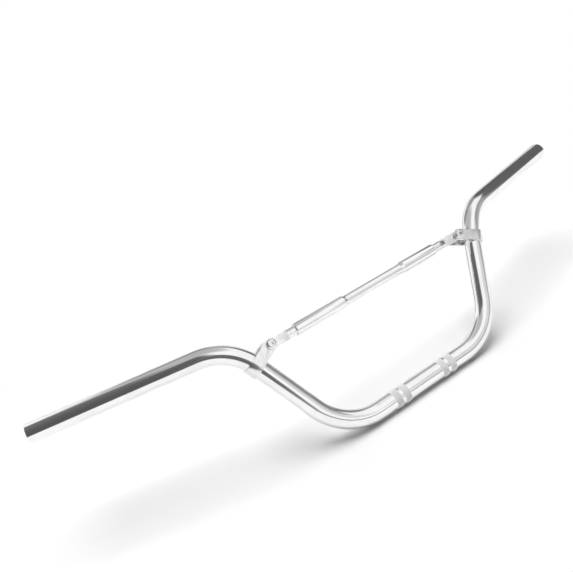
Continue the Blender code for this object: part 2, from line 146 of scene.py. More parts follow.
class TubeSettings(bpy.types.PropertyGroup):
    """The bent handlebar tube and its knurled bands."""
    diameter: length("Diameter", "Outside diameter of the tube", 0.0222)
    wall: length("Wall", "Wall of the tube", 0.0022)
    end_chamfer: length("End chamfer", "Chamfer round each open end", 0.0006)
    width: length("Width", "Overall width of the bar, end to end", 0.797)
    lower_corner_x: length("Lower corner", "Distance of each lower bend's corner from the middle", 0.1115)
    upper_corner_x: length("Upper corner", "Distance of each upper bend's corner from the middle", 0.1815)
    rise_height: length("Rise", "Height of the upper bends' corners over the centre section", 0.147)
    grip_back: length("Pullback", "How far the grip ends sweep back", 0.0685)
    grip_up: length("Upsweep", "How far the grip ends stand over the upper corners", 0.0267)
    lower_bend_radius: length("Lower bend", "Centre line radius of the lower bends", 0.0715)
    upper_bend_radius: length("Upper bend", "Centre line radius of the upper bends", 0.067)
    lean: angle("Lean", "How far the rises lean back", 26)
    knurl_pair_x: length("Knurl pair", "Distance of each pair of knurled bands from the middle", 0.0358)
    knurl_width: length("Knurl width", "Width of one knurled band", 0.0085)
    knurl_gap: length("Knurl gap", "Plain gap between the two bands of a pair", 0.004)
    knurl_top: length("Knurl top", "Height of the knurl's points over the tube", 0.00035)
    knurl_foot: length("Knurl foot", "Height of the knurl's grooves over the tube", 0.00006)
    knurl_rows: IntProperty(name="Knurl rows", description="Rows of knurl points in a band", default=16,
                            min=2)


class CrossbarSettings(bpy.types.PropertyGroup):
    """The brace tube between the rises and its two end fittings."""
    height: length("Height", "Height of the crossbar over the centre section, along the rises", 0.126)
    diameter: length("Diameter", "Outside diameter at the ends", 0.0156)
    wall: length("Wall", "Wall of the tube", 0.0018)
    end_round: length("End round", "Rounding of the tube's mouths", 0.0014)
    waist_diameter: length("Waist diameter", "Outside diameter of the thin middle", 0.0127)
    waist_centre: length("Waist place", "How far right the thin middle lies", 0.0095)
    waist_length: length("Waist length", "Length of the thin middle", 0.084)
    waist_cone: length("Waist cone", "Length of each cone beside the waist", 0.004)
    eye_length: length("Eye length", "From the bolt to the neck", 0.023)
    eye_height: length("Eye height", "Height of the eye block", 0.0116)
    eye_edge: length("Eye edge", "Rounding of the eye block's edges", 0.0007)
    neck_length: length("Neck length", "Bare neck between the eye block and the tube", 0.014)
    spigot_length: length("Spigot length", "Length of the neck inside the tube", 0.02)


class ClampSettings(bpy.types.PropertyGroup):
    """The strap clamps on the rises and their fasteners."""
    bolt_reach: length("Bolt reach", "From the tube's axis to the bolt", 0.0262)
    strap_width: length("Strap width", "Width of the strap", 0.0138)
    strap_thickness: length("Strap thickness", "Thickness of the strap", 0.0018)
    strap_edge: length("Strap edge", "Rounding of the strap's edges", 0.0003)
    slot_relief: length("Slot relief", "What the slot between the ears gives to the seat", 0.0001)
    seat_gap: length("Seat gap", "Clearance between pieces that touch", 0.0003)
    bolt_diameter: length("Bolt diameter", "Diameter of the shank", 0.006)
    hole_clearance: length("Hole clearance", "Clearance of the holes round the shank", 0.0003)
    thread_pitch: length("Thread pitch", "Pitch of the bolt's thread", 0.001)
    thread_depth: length("Thread depth", "Depth of the bolt's thread", 0.00045)
    thread_past_nut: length("Thread past nut", "How far the bolt stands out of the nut", 0.0012)
    head_diameter: length("Head diameter", "Diameter of the button head", 0.0118)
    head_height: length("Head height", "Height of the button head", 0.0029)
    head_rim: length("Head rim", "Straight rim under the dome", 0.0007)
    head_flat: length("Head flat", "Diameter of the flat on top of the dome", 0.0062)
    socket_width: length("Socket width", "Width of the hexagon socket, across flats", 0.004)
    socket_depth: length("Socket depth", "Depth of the hexagon socket", 0.0018)
    washer_diameter: length("Washer diameter", "Outside diameter of the washer", 0.012)
    washer_thickness: length("Washer thickness", "Thickness of the washer", 0.0012)
    nut_width: length("Nut width", "Width of the nut, across flats", 0.01)
    nut_hex_height: length("Nut hexagon", "Height of the nut's hexagon", 0.0044)
    nut_corner: length("Nut corner", "Trim of the hexagon's corners", 0.0006)
    collar_height: length("Collar height", "Height of the nut's round collar", 0.0022)
    collar_wall: length("Collar wall", "Wall of the nut's round collar", 0.0005)
    collar_lip: length("Collar lip", "Lip that holds the nylon ring", 0.0004)
    insert_wall: length("Insert wall", "Wall of the nylon ring", 0.0007)
    insert_height: length("Insert height", "Height of the nylon ring", 0.0012)


class FinishSettings(bpy.types.PropertyGroup):
    """Colours and roughness of the finishes."""
    polished: colour("Polished tube", "Colour of the polished tube", (0.93, 0.93, 0.93))
    polished_roughness: share("Tube roughness", "Roughness of the polished tube", 0.12)
    knurl: colour("Knurl", "Colour of the knurled bands", (0.93, 0.93, 0.93))
    knurl_roughness: share("Knurl roughness", "Roughness of the knurled bands", 0.42)
    crossbar: colour("Crossbar", "Colour of the polished crossbar", (0.93, 0.93, 0.93))
    fitting: colour("Fitting", "Colour of the turned end fittings", (0.94, 0.94, 0.94))
    strap: colour("Strap", "Colour of the satin straps", (0.88, 0.88, 0.88))
    fastener: colour("Fastener", "Colour of the plated fasteners", (0.90, 0.90, 0.90))
    nylon: colour("Nylon", "Colour of the nut's nylon ring", (0.82, 0.82, 0.80))


class StageSettings(bpy.types.PropertyGroup):
    """The camera, the floor and the studio light."""
    camera_location: FloatVectorProperty(name="Camera", description="Place of the camera", size=3,
                                         default=(-0.3978, -0.6145, 0.4397), subtype="TRANSLATION",
                                         unit="LENGTH")
    camera_rotation: FloatVectorProperty(name="Camera turn", description="Turn of the camera", size=3,
                                         default=[math.radians(value) for value in CAMERA_TURN],
                                         subtype="EULER", unit="ROTATION")
    lens: FloatProperty(name="Lens", description="Focal length on a 36 mm sensor", default=44.76,
                        unit="CAMERA")
    floor_radius: length("Floor", "Radius of the lit floor round the bar", 0.75)
    # The dome carries painted reflections: glowing cards that only the metal sees
    painted_reflection_dome_radius: length("Dome", "Radius of the dome with the grey cards", 1.3)
    overhead_elevation: angle("Overhead light's elevation", "How high the overhead light stands", 86)
    overhead_spread: angle("Overhead light's spread", "Angle over which the overhead light is spread", 46)
    overhead_strength: light_strength("Overhead light's strength", 2.75)
    back_elevation: angle("Back light's elevation", "How high the light behind stands", 45)
    back_spread: angle("Back light's spread", "Angle over which the light behind is spread", 50)
    back_strength: light_strength("Back light's strength", 0.75)


# Shader graphs

class Value:
    """A socket in a shader graph. Arithmetic on it adds Math nodes."""

    def __init__(self, graph, socket):
        self.graph = graph
        self.socket = socket

    def output(self, name):
        return Value(self.graph, self.socket.node.outputs[name])

    def math(self, operation, *operands):
        return self.graph.node("ShaderNodeMath", {"operation": operation}, dict(enumerate(operands)))

    def __add__(self, other):
        return self.math("ADD", self, other)

    def __radd__(self, other):
        return self.math("ADD", other, self)

    def __sub__(self, other):
        return self.math("SUBTRACT", self, other)

    def __rsub__(self, other):
        return self.math("SUBTRACT", other, self)

    def __mul__(self, other):
        return self.math("MULTIPLY", self, other)

    def __rmul__(self, other):
        return self.math("MULTIPLY", other, self)


class Graph:
    """The node tree of a material or world, emptied and built again."""

    def __init__(self, tree):
        self.tree = tree
        tree.nodes.clear()

    def node(self, kind, settings=None, inputs=None, output=0):
        node = self.tree.nodes.new(kind)
        for name, setting in (settings or {}).items():
            setattr(node, name, setting)
        for name, value in (inputs or {}).items():
            if isinstance(value, Value):
                self.tree.links.new(value.socket, node.inputs[name])
            else:
                node.inputs[name].default_value = value
        if not node.outputs:
            return None
        return Value(self, node.outputs[output])

    def blank(self):
        """The place on the straight blank, along its axis and across it, before bending or turning."""
        return self.node("ShaderNodeAttribute", {"attribute_name": "blank"}, {}, "Vector")

    def place(self):
        return self.node("ShaderNodeTexCoord", {}, {}, "Object")

    def noise(self, vector, scale=1.0, detail=3.0):
        return self.node("ShaderNodeTexNoise", {}, {"Vector": vector, "Scale": scale, "Detail": detail})

    def stretch(self, vector, factors):
        return self.node("ShaderNodeVectorMath", {"operation": "MULTIPLY"}, {0: vector, 1: factors})

    def step(self, value, low, high):
        """0 below low and 1 above high, with a smooth change between."""
        return self.node("ShaderNodeMapRange", {"interpolation_type": "SMOOTHSTEP"},
                         {"Value": value, "From Min": low, "From Max": high})

    def mix_colour(self, factor, first, second):
        return self.node("ShaderNodeMix", {"data_type": "RGBA"}, {0: factor, 6: first, 7: second}, 2)

    def mix_shader(self, factor, first, second):
        return self.node("ShaderNodeMixShader", {}, {0: factor, 1: first, 2: second})

    def add_shader(self, first, second):
        return self.node("ShaderNodeAddShader", {}, {0: first, 1: second})

    def emission(self, strength):
        return self.node("ShaderNodeEmission", {}, {"Color": (1, 1, 1, 1), "Strength": strength})

    def bump(self, height, distance, strength):
        return self.node("ShaderNodeBump", {},
                         {"Height": height, "Distance": distance, "Strength": strength})

    def finish(self, surface, kind="ShaderNodeOutputMaterial"):
        self.node(kind, {}, {"Surface": surface})


def opaque(rgb, kept=1.0):
    """The colour at full alpha, dulled to the share that is kept."""
    return (*(channel * kept for channel in rgb), 1.0)


def patchy(graph, rgb, kept, mask, low, high):
    """The colour, dulled to the kept share as the mask goes from low to high."""
    return graph.mix_colour(graph.step(mask, low, high), opaque(rgb), opaque(rgb, kept))


def swing(mask, width):
    """The mask about zero, over that width."""
    return (mask - 0.5) * width


def new_material(name):
    material = bpy.data.materials.new(name)
    material.use_nodes = True
    return material, Graph(material.node_tree)


def finish_surface(graph, base, roughness, normal, metallic=1.0):
    graph.finish(graph.node("ShaderNodeBsdfPrincipled", {}, {
        "Base Color": base, "Roughness": roughness, "Metallic": metallic, "Normal": normal}))


def drawn_metal(name, rgb, roughness):
    """Polished drawn tube: faint lines along its length, read from the tube before it was bent."""
    material, graph = new_material(name)
    blank = graph.blank()
    lines = graph.noise(graph.stretch(blank, DRAWN_LINES), detail=2.0)
    clouds = graph.noise(graph.stretch(blank, DRAWN_CLOUDS))
    base = patchy(graph, rgb, kept=0.94, mask=clouds, low=0.35, high=0.7)
    rough = roughness + swing(lines, 0.08) + swing(clouds, 0.06)
    finish_surface(graph, base, rough, graph.bump(lines, distance=0.00002, strength=0.35))
    return material


def knurled_metal(name, rgb, roughness):
    """Knurled bands: blunt bright points with dull grooves, whose fine grain scatters the light."""
    material, graph = new_material(name)
    grain = graph.noise(graph.blank(), KNURL_GRAIN, detail=2.0)
    base = patchy(graph, rgb, kept=0.94, mask=grain, low=0.4, high=0.7)
    finish_surface(graph, base, roughness + swing(grain, 0.2),
                   graph.bump(grain, distance=0.00003, strength=0.5), KNURL_METALLIC)
    return material


def turned_metal(name, rgb, roughness):
    """Turned and plated metal: fine rings round the turning axis."""
    material, graph = new_material(name)
    rings = graph.noise(graph.stretch(graph.blank(), TURNED_RINGS), detail=2.0)
    clouds = graph.noise(graph.place(), TURNED_CLOUDS)
    base = patchy(graph, rgb, kept=0.92, mask=clouds, low=0.4, high=0.7)
    finish_surface(graph, base, roughness + swing(clouds, 0.1),
                   graph.bump(rings, distance=0.00001, strength=0.3))
    return material


def satin_metal(name, rgb, roughness):
    """Tumbled and plated sheet: a fine even grain with no direction."""
    material, graph = new_material(name)
    place = graph.place()
    grain = graph.noise(place, SATIN_GRAIN)
    clouds = graph.noise(place, SATIN_CLOUDS)
    base = patchy(graph, rgb, kept=0.93, mask=clouds, low=0.35, high=0.7)
    rough = roughness + swing(grain, 0.12) + swing(clouds, 0.08)
    finish_surface(graph, base, rough, graph.bump(grain, distance=0.00003, strength=0.5))
    return material


def moulded_nylon(name, rgb, roughness):
    """Moulded nylon: a faint even grain."""
    material, graph = new_material(name)
    grain = graph.noise(graph.place(), NYLON_GRAIN)
    base = graph.mix_colour(grain, opaque(rgb), opaque(rgb, 0.9))
    finish_surface(graph, base, roughness + swing(grain, 0.2),
                   graph.bump(grain, distance=0.00003, strength=0.4), metallic=0.0)
    return material


# Mesh tools

def piece_collection():
    name = "Motocross handlebar"
    found = bpy.data.collections.get(name)
    if found is None:
        found = bpy.data.collections.new(name)
        bpy.context.scene.collection.children.link(found)
    return found


def new_object(name, shape):
    mesh = bpy.data.meshes.new(name)
    shape.to_mesh(mesh)
    shape.free()
    obj = bpy.data.objects.new(name, mesh)
    piece_collection().objects.link(obj)
    return obj


def hand_over(obj, material, slot, *nodes):
    """Gives a finished piece its material and its body, and hides the nodes it stands for.

    The piece's place goes into its mesh first, as on the packed model's own nodes. The slot is not used.
    """
    obj.data.transform(obj.matrix_world)
    obj.matrix_world = Matrix.Identity(4)
    obj.data.materials.append(material)
    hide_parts(*nodes)
    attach(obj, BODY)


def loft(rings, closed=False, blanks=None):
    """A surface through rings of equally many points; it runs back to the first ring if closed.

    blanks gives each point's place on the unbent tube, ring by ring, for the drawn finish.
    """
    shape = bmesh.new()
    layer = shape.verts.layers.float_vector.new("blank") if blanks else None
    loops = [[shape.verts.new(point) for point in ring] for ring in rings]
    if blanks:
        for loop, ring_blanks in zip(loops, blanks):
            for vertex, blank in zip(loop, ring_blanks):
                vertex[layer] = blank
    count = len(loops[0])
    pairs = list(zip(loops, loops[1:]))
    if closed:
        pairs.append((loops[-1], loops[0]))
    for first, second in pairs:
        for index in range(count):
            following = (index + 1) % count
            shape.faces.new((first[index], first[following], second[following], second[index]))
    return shape, loops


def smooth(obj):
    obj.data.shade_smooth()
    obj.data.set_sharp_from_angle(angle=SHARP_ANGLE)
    return obj


def evaluated_copy(obj):
    graph = bpy.context.evaluated_depsgraph_get()
    return bpy.data.meshes.new_from_object(obj.evaluated_get(graph))


def settled(obj, *cutters):
    """Applies the object's modifiers to its mesh, removes the cutters that they used, and shades it."""
    bpy.context.view_layer.update()
    mesh = evaluated_copy(obj)
    obj.modifiers.clear()
    obj.data = mesh
    for cutter in cutters:
        bpy.data.objects.remove(cutter, do_unlink=True)
    return smooth(obj)


def boolean(obj, operation, operand):
    modifier = obj.modifiers.new(operation.lower(), "BOOLEAN")
    modifier.operation = operation
    modifier.solver = "EXACT"
    modifier.object = operand


def bevel(obj, width, angle_limit):
    modifier = obj.modifiers.new("edges", "BEVEL")
    modifier.width = width
    modifier.segments = EDGE_SEGMENTS
    modifier.limit_method = "ANGLE"
    modifier.angle_limit = angle_limit
    modifier.use_clamp_overlap = True


def arc(centre, radius, start, end, segments):
    turns = [start + (end - start) * index / segments for index in range(segments + 1)]
    return [(centre[0] + radius * math.cos(turn), centre[1] + radius * math.sin(turn)) for turn in turns]


def circle(centre, radius, segments):
    return arc(centre, radius, 0, math.tau, segments)[:-1]


def filleted(points, radius, closed=False):
    """A polyline whose corners are rounded with the radius, or with what its short edges allow."""
    count = len(points)
    rounded = []
    for index, point in enumerate(points):
        if not closed and index in (0, count - 1):
            rounded.append(point)
            continue
        corner = Vector(point)
        back = Vector(points[index - 1]) - corner
        ahead = Vector(points[(index + 1) % count]) - corner
        half_turn = back.angle(ahead) / 2
        if half_turn > FLAT_CORNER:
            rounded.append(point)
            continue
        reach = min(radius / math.tan(half_turn), back.length * SHORT_EDGE_SHARE,
                    ahead.length * SHORT_EDGE_SHARE)
        fitted = reach * math.tan(half_turn)
        inward = (back.normalized() + ahead.normalized()).normalized()
        centre = corner + inward * fitted / math.sin(half_turn)
        first = corner + back.normalized() * reach - centre
        last = corner + ahead.normalized() * reach - centre
        sweep = first.angle_signed(last)
        for step in range(FILLET_SEGMENTS + 1):
            turned = first.copy()
            turned.rotate(Matrix.Rotation(-sweep * step / FILLET_SEGMENTS, 2))
            rounded.append(tuple(centre + turned))
    return rounded


def facing_out(shape):
    bmesh.ops.recalc_face_normals(shape, faces=shape.faces)
    return shape


def plate(name, outlines, thickness):
    """Closed outlines in the XY plane, the later ones holes, made a plate centred on that plane."""
    curve = bpy.data.curves.new(name, "CURVE")
    curve.dimensions = "2D"
    curve.fill_mode = "BOTH"
    curve.extrude = thickness / 2
    for outline in outlines:
        spline = curve.splines.new("POLY")
        spline.points.add(len(outline) - 1)
        spline.use_cyclic_u = True
        for point, (x, y) in zip(spline.points, outline):
            point.co = (x, y, 0, 1)
    drawn = bpy.data.objects.new(name, curve)
    piece_collection().objects.link(drawn)
    mesh = evaluated_copy(drawn)
    bpy.data.objects.remove(drawn, do_unlink=True)
    shape = bmesh.new()
    shape.from_mesh(mesh)
    bmesh.ops.remove_doubles(shape, verts=shape.verts, dist=WELD_DISTANCE)
    return new_object(name, facing_out(shape))


def round_section(radii):
    """Points evenly spaced round a centre, each at its own radius."""
    count = len(radii)
    return [(radius * math.cos(math.tau * index / count), radius * math.sin(math.tau * index / count))
            for index, radius in enumerate(radii)]


def level_ring(height, radii):
    return [Vector((x, y, height)) for x, y in round_section(radii)]


def cleaned(shape):
    """Joins points that coincide, takes out faces without area and turns the rest outward."""
    bmesh.ops.remove_doubles(shape, verts=shape.verts, dist=WELD_DISTANCE)
    bmesh.ops.dissolve_degenerate(shape, edges=shape.edges, dist=WELD_DISTANCE)
    return facing_out(shape)


def revolved(name, profile, sides):
    """A closed profile of (radius, height) points turned about Z; points on the axis become one."""
    rings = [level_ring(height, [radius] * sides) for radius, height in profile]
    on_axis = profile[0][0] == 0
    blanks = [[(point.z, point.x, point.y) for point in ring] for ring in rings]
    shape, _ = loft(rings, not on_axis, blanks)
    return new_object(name, cleaned(shape))


# The tube's centre line

class CentreLine:
    """Straight runs joined by arcs, read by the distance along it."""

    def __init__(self, corners, bend_radii):
        self.runs = []
        self.total = 0.0
        start = corners[0]
        for index, radius in enumerate(bend_radii):
            before, corner, after = corners[index:index + 3]
            back = (before - corner).normalized()
            ahead = (after - corner).normalized()
            half_angle = back.angle(ahead) / 2
            centre = corner + (back + ahead).normalized() * radius / math.sin(half_angle)
            enter = corner + back * radius / math.tan(half_angle)
            leave = corner + ahead * radius / math.tan(half_angle)
            self._add_straight(start, enter)
            self._add_arc(enter - centre, leave - centre, centre, radius)
            start = leave
        self._add_straight(start, corners[-1])

    def _add_straight(self, start, end):
        self.runs.append(("straight", self.total, (start, (end - start).normalized())))
        self.total += (end - start).length

    def _add_arc(self, first, last, centre, radius):
        axis = first.cross(last).normalized()
        turn = first.angle(last)
        self.runs.append(("arc", self.total, (centre, first, axis, radius)))
        self.total += turn * radius

    def at(self, distance):
        """The point and the direction of the line at a distance from its start."""
        kind, start, facts = [run for run in self.runs if run[1] <= distance or run is self.runs[0]][-1]
        if kind == "straight":
            point, direction = facts
            return point + direction * (distance - start), direction
        centre, first, axis, radius = facts
        turned = Matrix.Rotation((distance - start) / radius, 3, axis) @ first
        return centre + turned, axis.cross(turned).normalized()

    def stations(self, step):
        """Distances of the line's ends and of its arcs, cut into steps of that angle."""
        ends = [run[1] for run in self.runs[1:]] + [self.total]
        found = [0.0]
        for (kind, start, facts), end in zip(self.runs, ends):
            pieces = math.ceil((end - start) / facts[3] / step) if kind == "arc" else 1
            found += [start + (end - start) * index / pieces for index in range(1, pieces + 1)]
        return found


def tube_line(tube):
    right = [Vector((tube.lower_corner_x, 0, 0)), Vector((tube.upper_corner_x, 0, tube.rise_height)),
             Vector((tube.width / 2, tube.grip_back, tube.rise_height + tube.grip_up))]
    left = [Vector((-corner.x, corner.y, corner.z)) for corner in reversed(right)]
    radii = [tube.lower_bend_radius, tube.upper_bend_radius]
    return CentreLine(left + right, list(reversed(radii)) + radii)


def leaned(tube):
    return Matrix.Rotation(-tube.lean, 4, "X")


def ring_frames(line, distances):
    """For each distance: the point and two directions across the line, which never twist."""
    found = []
    across = Vector((0, 1, 0))
    for distance in distances:
        point, direction = line.at(distance)
        across = (across - direction * across.dot(direction)).normalized()
        found.append((point, across, direction.cross(across)))
    return found


def ring_points(frame_of_ring, radii):
    point, across, upward = frame_of_ring
    return [point + across * first + upward * second for first, second in round_section(radii)]


def ring_blanks(distance, radii):
    """Where a ring's points lay on the straight tube before it was bent."""
    return [(distance, first, second) for first, second in round_section(radii)]


def clamp_place(tube, crossbar, clamp):
    """The right clamp, where its bolt comes to the crossbar's height on the rise.

    Gives the point on the tube's centre line, the direction inboard to the bolt and the bolt's axis,
    which is square to both the tube and the crossbar.
    """
    line = tube_line(tube)
    low = line.total / 2
    high = line.runs[-1][1]
    for _ in range(CLAMP_SEARCH_STEPS):
        middle = (low + high) / 2
        point, along = line.at(middle)
        bolt_axis = Vector((0, along.z, -along.y)).normalized()
        inboard = along.cross(bolt_axis)
        if (point + inboard * clamp.bolt_reach).z < crossbar.height:
            low = middle
        else:
            high = middle
    return point, inboard, bolt_axis


def clamp_matrix(place, side):
    """On the tube's axis: X points inboard to the bolt, Y back along it, and Z along the tube."""
    point, inboard, bolt_axis = place
    mirror = Vector((side, 1, 1))
    inboard = inboard * mirror
    axes = Matrix((inboard, bolt_axis, inboard.cross(bolt_axis))).transposed()
    return Matrix.Translation(point * mirror) @ axes.to_4x4()


def crossbar_matrix(place, clamp):
    """On the crossbar's axis: X runs along it, and Y along the clamps' bolts."""
    point, inboard, bolt_axis = place
    bolt = point + inboard * clamp.bolt_reach
    tilt = Matrix.Rotation(math.atan2(bolt_axis.z, bolt_axis.y), 4, "X")
    return Matrix.Translation((0, bolt.y, bolt.z)) @ tilt


def bolt_x(place, clamp):
    point, inboard, _ = place
    return (point + inboard * clamp.bolt_reach).x


# The handlebar tube

def knurl_centres(tube, middle):
    half_step = (tube.knurl_width + tube.knurl_gap) / 2
    return sorted(middle + side * tube.knurl_pair_x + half * half_step
                  for side in (-1, 1) for half in (-1, 1))


def outer_rings(tube, line):
    """(distance, radii, knurl row or None) of each ring of the outside, from end to end."""
    radius = tube.diameter / 2
    plain = [radius] * TUBE_SIDES
    rings = [(distance, plain, None) for distance in line.stations(FINE_ARC_STEP)[1:-1]]
    for index in range(FILLET_SEGMENTS + 1):
        turn = math.pi / 2 * index / FILLET_SEGMENTS
        inset = tube.end_chamfer * (1 - math.sin(turn))
        drop = tube.end_chamfer * (1 - math.cos(turn))
        rounded = [radius - drop] * TUBE_SIDES
        rings.append((inset, rounded, None))
        rings.append((line.total - inset, rounded, None))
    low = radius + tube.knurl_foot
    high = radius + tube.knurl_top
    pitch = tube.knurl_width / tube.knurl_rows
    for centre in knurl_centres(tube, line.total / 2):
        start = centre - tube.knurl_width / 2
        rings.append((start - tube.knurl_foot, plain, None))
        rings.append((start + tube.knurl_width + tube.knurl_foot, plain, None))
        for row in range(tube.knurl_rows + 1):
            inside = 0 < row < tube.knurl_rows
            radii = [high if inside and (row + column) % 2 == 0 else low for column in range(TUBE_SIDES)]
            rings.append((start + row * pitch, radii, row))
    return sorted(rings, key=lambda ring: ring[0])


def build_tube_mesh(tube):
    line = tube_line(tube)
    outer = outer_rings(tube, line)
    frames = ring_frames(line, [ring[0] for ring in outer])
    rings = [ring_points(place, ring[1]) for place, ring in zip(frames, outer)]
    blanks = [ring_blanks(ring[0], ring[1]) for ring in outer]
    bore = [tube.diameter / 2 - tube.wall] * TUBE_SIDES
    inner_distances = line.stations(COARSE_ARC_STEP)
    inner_frames = ring_frames(line, inner_distances)
    for place, distance in reversed(list(zip(inner_frames, inner_distances))):
        rings.append(ring_points(place, bore))
        blanks.append(ring_blanks(distance, bore))
    shape, loops = loft(rings, True, blanks)
    for face in shape.faces:
        face.smooth = True
    cut_knurl(shape, loops, outer)
    return facing_out(shape)


def cut_knurl(shape, loops, outer):
    """Splits the knurl's cells beside their high points, and shades them flat, as cut facets."""
    rows = [ring[2] for ring in outer]
    for index in range(len(outer) - 1):
        if rows[index] is None or rows[index + 1] != rows[index] + 1:
            continue
        for column in range(TUBE_SIDES):
            following = (column + 1) % TUBE_SIDES
            corners = (loops[index][column], loops[index][following],
                       loops[index + 1][following], loops[index + 1][column])
            face = shape.faces.get(corners)
            high_first = (rows[index] + column) % 2 == 0
            pair = (corners[1], corners[3]) if high_first else (corners[0], corners[2])
            fresh, _ = bmesh.utils.face_split(face, *pair)
            for facet in (face, fresh):
                facet.smooth = False
                facet.material_index = 1


class HANDLEBAR_OT_tube(bpy.types.Operator):
    """Builds the bent tube with its knurled bands"""
    bl_idname = "handlebar.tube"
    bl_label = "Handlebar tube"

    def execute(self, context):
        tube = context.scene.handlebar_tube
        finish = context.scene.handlebar_finish
        obj = new_object("bent_tube", build_tube_mesh(tube))
        obj.data.set_sharp_from_angle(angle=SHARP_ANGLE)
        obj.matrix_world = leaned(tube)
        hand_over(obj, drawn_metal("polished tube", finish.polished, finish.polished_roughness),
                  "polished_tube", "handlebar_tube")
        obj.data.materials.append(knurled_metal("knurled bands", finish.knurl, finish.knurl_roughness))
        return {"FINISHED"}


# The crossbar

def bar_settings(context):
    """The sizes of the tube, of the crossbar and of the clamps."""
    scene = context.scene
    return scene.handlebar_tube, scene.handlebar_crossbar, scene.handlebar_clamp


def crossbar_profile(crossbar, half_length):
    radius = crossbar.diameter / 2
    waist = crossbar.waist_diameter / 2
    bore = radius - crossbar.wall
    right = crossbar.waist_centre + crossbar.waist_length / 2
    left = crossbar.waist_centre - crossbar.waist_length / 2
    cone = crossbar.waist_cone
    outer = [(radius, half_length), (radius, right + cone), (waist, right),
             (waist, left), (radius, left - cone), (radius, -half_length)]
    inner = [(bore, -half_length), (bore, left - cone), (waist - crossbar.wall, left),
             (waist - crossbar.wall, right), (bore, right + cone), (bore, half_length)]
    return outer, inner


class HANDLEBAR_OT_crossbar(bpy.types.Operator):
    """Builds the crossbar's waisted tube"""
    bl_idname = "handlebar.crossbar"
    bl_label = "Crossbar tube"

    def execute(self, context):
        tube, crossbar, clamp = bar_settings(context)
        finish = context.scene.handlebar_finish
        place = clamp_place(tube, crossbar, clamp)
        half_length = bolt_x(place, clamp) - crossbar.eye_length - crossbar.neck_length
        outer, inner = crossbar_profile(crossbar, half_length)
        profile = filleted(outer + inner, crossbar.end_round, closed=True)
        obj = smooth(revolved("waisted_crossbar", profile, TURNED_SIDES))
        obj.matrix_world = leaned(tube) @ crossbar_matrix(place, clamp) @ QUARTER_Y
        hand_over(obj, drawn_metal("polished crossbar", finish.crossbar, finish.polished_roughness),
                  "polished_crossbar", "crossbar_tube")
        return {"FINISHED"}


def hole_radius(clamp):
    return clamp.bolt_diameter / 2 + clamp.hole_clearance


def build_eye(name, tube, crossbar, clamp, side):
    """A spigot, a round neck and an eye block with a hole for the bolt."""
    half_height = crossbar.eye_height / 2
    half_width = tube.diameter / 2 - clamp.slot_relief
    outline = [(crossbar.eye_length, half_height)]
    outline += arc((0, 0), half_height, math.pi / 2, math.pi * 3 / 2, OUTLINE_SEGMENTS)
    outline += [(crossbar.eye_length, -half_height)]
    hole = circle((0, 0), hole_radius(clamp), SMALL_SIDES)
    eye = plate(name, [outline, hole], 2 * half_width)
    bevel(eye, crossbar.eye_edge, EYE_EDGE_ANGLE)
    inboard_turn = math.pi if side > 0 else 0
    clamped = clamp_place(tube, crossbar, clamp)
    place = (leaned(tube) @ crossbar_matrix(clamped, clamp)
             @ Matrix.Translation((side * bolt_x(clamped, clamp), 0, 0)))
    eye.matrix_world = place @ Matrix.Rotation(inboard_turn, 4, "Z") @ QUARTER_X
    shank_radius = crossbar.diameter / 2 - crossbar.wall - clamp.seat_gap
    rooted = crossbar.eye_length - crossbar.neck_length / 4
    tip = crossbar.eye_length + crossbar.neck_length + crossbar.spigot_length
    profile = [(0, tip), (shank_radius - crossbar.eye_edge, tip), (shank_radius, tip - crossbar.eye_edge),
               (shank_radius, rooted), (0, rooted)]
    shank = revolved(name + "_shank", profile, SMALL_SIDES)
    shank.matrix_world = place @ Matrix.Rotation(-side * math.pi / 2, 4, "Y")
    boolean(eye, "UNION", shank)
    return settled(eye, shank)


class HANDLEBAR_OT_eyes(bpy.types.Operator):
    """Builds the crossbar's two end fittings"""
    bl_idname = "handlebar.eyes"
    bl_label = "Crossbar eyes"

    def execute(self, context):
        tube, crossbar, clamp = bar_settings(context)
        finish = context.scene.handlebar_finish
        material = turned_metal("bright fitting", finish.fitting, FITTING_ROUGHNESS)
        for side_name, side in SIDES:
            eye = build_eye(f"eye_{side_name}", tube, crossbar, clamp, side)
            hand_over(eye, material, "bright_fitting", f"crossbar_eye_{side_name}")
        return {"FINISHED"}


# The clamps

def strap_radii(tube, clamp):
    inner = tube.diameter / 2 + clamp.seat_gap
    return inner, inner + clamp.strap_thickness


def seat_cutter(tube, clamp):
    """The handlebar tube with its clearance, closed at its ends."""
    line = tube_line(tube)
    radii = [tube.diameter / 2 + clamp.seat_gap] * TURNED_SIDES
    frames = ring_frames(line, line.stations(COARSE_ARC_STEP / 2))
    shape, loops = loft([ring_points(place, radii) for place in frames])
    shape.faces.new(loops[0])
    shape.faces.new(loops[-1])
    seat = new_object("strap_seat", facing_out(shape))
    seat.matrix_world = leaned(tube)
    return seat


def clamp_frame(tube, crossbar, clamp, side):
    return leaned(tube) @ clamp_matrix(clamp_place(tube, crossbar, clamp), side)


